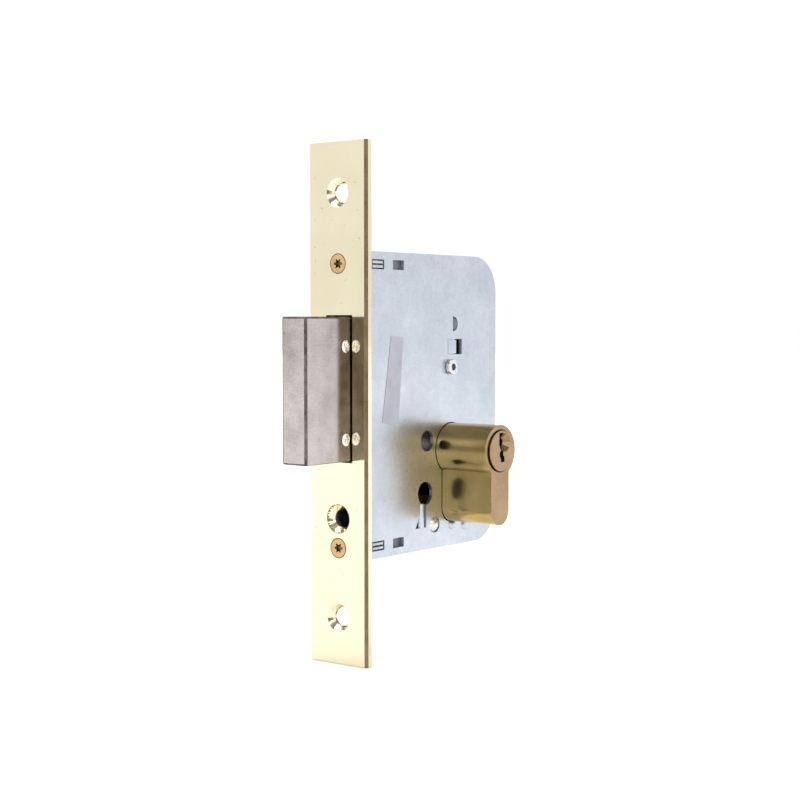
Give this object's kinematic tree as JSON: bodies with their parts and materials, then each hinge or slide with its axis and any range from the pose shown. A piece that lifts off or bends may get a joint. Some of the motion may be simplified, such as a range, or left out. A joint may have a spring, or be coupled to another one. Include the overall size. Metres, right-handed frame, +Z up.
{
  "type": "mortice deadlock",
  "caption": "Mortice deadbolt lock with a brass forend, folded steel case, sliding bolt, locking lever and double profile cylinder.",
  "frame": {"origin": "on the forend's seat face, midway between the two wood-screw holes", "axes": "+X into the door, +Y across its thickness, +Z up"},
  "size_m": [0.0972, 0.0552, 0.1635],
  "materials": {
    "polished_brass": "mirror polished and lacquered",
    "screw_brass": "brass plated",
    "case_steel": "galvanised, finely mottled",
    "block_steel": "zinc plated",
    "screw_steel": "zinc plated, satin",
    "bolt_nickel": "satin nickel plated",
    "rivet_steel": "hammered bright",
    "inner_steel": "mill finish",
    "lever_brass": "stamped, dull",
    "spring_steel": "drawn wire",
    "cylinder_brass": "satin",
    "plug_brass": "satin, finely turned",
    "cam_steel": "sintered steel",
    "label_paper": "matt paper"
  },
  "bodies": {
    "root": {"forend": "polished_brass", "forend_screws": "screw_brass", "case_back": "case_steel", "case_rim": "case_steel", "case_cover": "case_steel", "upper_block": "block_steel", "lower_block": "block_steel", "guide_post": "block_steel", "cover_screw": "screw_steel", "lower_spacer": "block_steel", "lower_rivet": "screw_steel", "lever_pivot": "block_steel", "lever_spring": "spring_steel", "cylinder_body": "cylinder_brass", "near_driver_pins": "inner_steel", "far_driver_pins": "inner_steel", "near_pin_springs": "spring_steel", "far_pin_springs": "spring_steel", "pin_bore_plugs": "cylinder_brass", "paper_label": "label_paper"},
    "bolt": {"bolt_head": "bolt_nickel", "bolt_tail": "inner_steel", "bolt_rivets": "rivet_steel", "bolt_stump": "inner_steel"},
    "near_plug_body": {"near_plug": "plug_brass", "near_key_pins": "plug_brass", "near_clip": "spring_steel"},
    "far_plug_body": {"far_plug": "plug_brass", "far_key_pins": "plug_brass", "far_clip": "spring_steel"},
    "cam_body": {"cam": "cam_steel"},
    "clutch_body": {"clutch": "cam_steel"},
    "lever_body": {"lever": "lever_brass"}
  },
  "joints": [
    {"name": "bolt_slide", "type": "slide", "parent": "root", "child": "bolt", "axis": [1, 0, 0], "range_m": [0, 0.02]},
    {"name": "cam_turn", "type": "hinge", "parent": "root", "child": "cam_body", "pos_m": [0.0475, 0, -0.01575], "axis": [0, 1, 0], "range_deg": [0, 100.62]},
    {"name": "near_plug_turn", "type": "hinge", "parent": "root", "child": "near_plug_body", "pos_m": [0.0475, 0, -0.01575], "axis": [0, 1, 0], "range_deg": [0, 100.62]},
    {"name": "far_plug_turn", "type": "hinge", "parent": "root", "child": "far_plug_body", "pos_m": [0.0475, 0, -0.01575], "axis": [0, 1, 0], "range_deg": [0, 100.6]},
    {"name": "clutch_slide", "type": "slide", "parent": "cam_body", "child": "clutch_body", "axis": [0, 1, 0], "range_m": [-0.0007, 0.0007]},
    {"name": "lever_drop", "type": "hinge", "parent": "root", "child": "lever_body", "pos_m": [0.01, 0, 0.0345], "axis": [0, 1, 0], "range_deg": [0, 6]}
  ],
  "couplings": [
    {"joint": "cam_turn", "follows": "bolt_slide", "rad_per_m": 87.764},
    {"joint": "near_plug_turn", "follows": "bolt_slide", "rad_per_m": 87.764}
  ]
}
